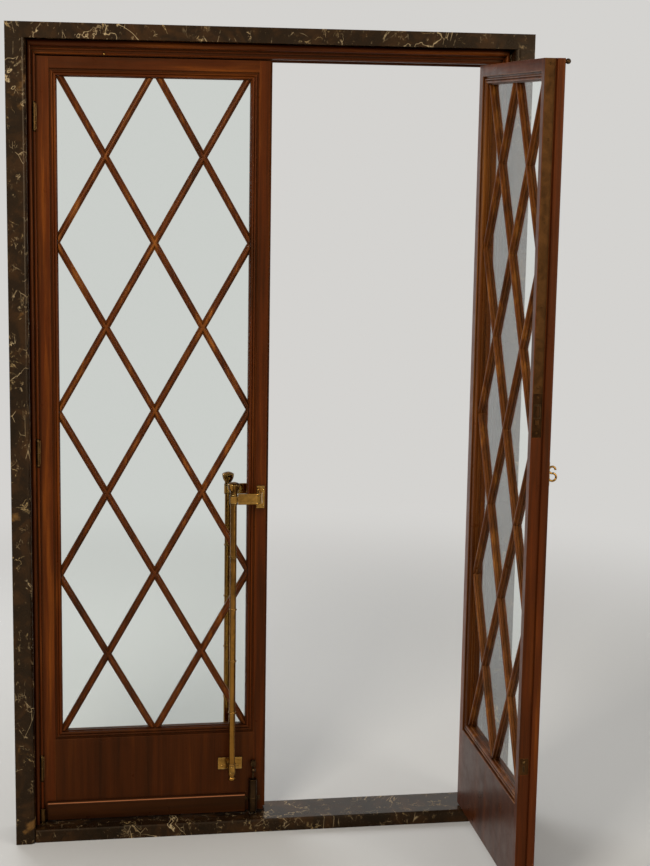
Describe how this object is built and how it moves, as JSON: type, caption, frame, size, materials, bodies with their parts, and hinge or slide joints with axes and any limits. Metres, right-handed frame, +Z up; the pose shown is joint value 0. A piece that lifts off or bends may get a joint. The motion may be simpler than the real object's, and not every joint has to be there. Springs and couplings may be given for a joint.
{
  "type": "glazed double door",
  "caption": "Pair of hinged mahogany doors with glazed diamond lattices and long brass pull handles, in a moulded timber frame inside a dark marble surround.",
  "frame": {"origin": "underside of the marble threshold at floor level, middle of the doorway, in the plane of the closed leaves' room faces", "axes": "+X to the right seen from the room, +Y through the doorway away from the room, +Z up"},
  "size_m": [1.821, 0.9834, 2.894],
  "materials": {
    "marble": "polished, dark brown with cream veins",
    "mahogany": "glossy varnish",
    "lattice_wood": "glossy varnish",
    "glass": "clear polished",
    "brass": "polished, aged",
    "bronze": "dark patina"
  },
  "bodies": {
    "surround": {"threshold": "marble", "stone_jamb_left": "marble", "stone_jamb_right": "marble", "stone_head": "marble", "frame_jamb_left": "mahogany", "frame_jamb_right": "mahogany", "frame_head": "mahogany", "stop_left": "mahogany", "stop_right": "mahogany", "stop_head": "mahogany", "frame_hinges_left": "bronze", "frame_hinges_right": "bronze", "bolt_keep": "brass"},
    "left_leaf": {"left_hinge_stile": "mahogany", "left_meeting_stile": "mahogany", "left_meeting_tongue": "mahogany", "left_top_rail": "mahogany", "left_bottom_rail": "mahogany", "left_inner_lattice": "lattice_wood", "left_outer_lattice": "lattice_wood", "left_glass": "glass", "left_kick_moulding": "mahogany", "left_leaf_hinges": "bronze", "left_foot_shoe": "bronze", "left_inner_pull_bar": "brass", "left_inner_pull_brackets": "brass", "left_outer_pull_bar": "brass", "left_outer_pull_brackets": "brass", "left_bolt_case": "bronze"},
    "right_leaf": {"right_hinge_stile": "mahogany", "right_meeting_stile": "mahogany", "right_meeting_lip": "mahogany", "right_top_rail": "mahogany", "right_bottom_rail": "mahogany", "right_inner_lattice": "lattice_wood", "right_outer_lattice": "lattice_wood", "right_glass": "glass", "right_kick_moulding": "mahogany", "right_leaf_hinges": "bronze", "right_foot_shoe": "bronze", "right_lock_plate": "bronze", "right_edge_bolt_plates": "bronze", "right_scroll_pull": "brass", "right_top_ball": "bronze"},
    "foot_bolt": {"left_bolt": "bronze"}
  },
  "joints": [
    {"name": "left_leaf_swing", "type": "hinge", "parent": "surround", "child": "left_leaf", "pos_m": [-0.816, -0.018, 1.4], "axis": [0, 0, 1], "range_deg": [-110, 0]},
    {"name": "right_leaf_swing", "type": "hinge", "parent": "surround", "child": "right_leaf", "pos_m": [0.816, -0.018, 1.4], "axis": [0, 0, 1], "range_deg": [-90, 20]},
    {"name": "foot_bolt_slide", "type": "slide", "parent": "left_leaf", "child": "foot_bolt", "axis": [0, 0, -1], "range_m": [0, 0.018]}
  ]
}
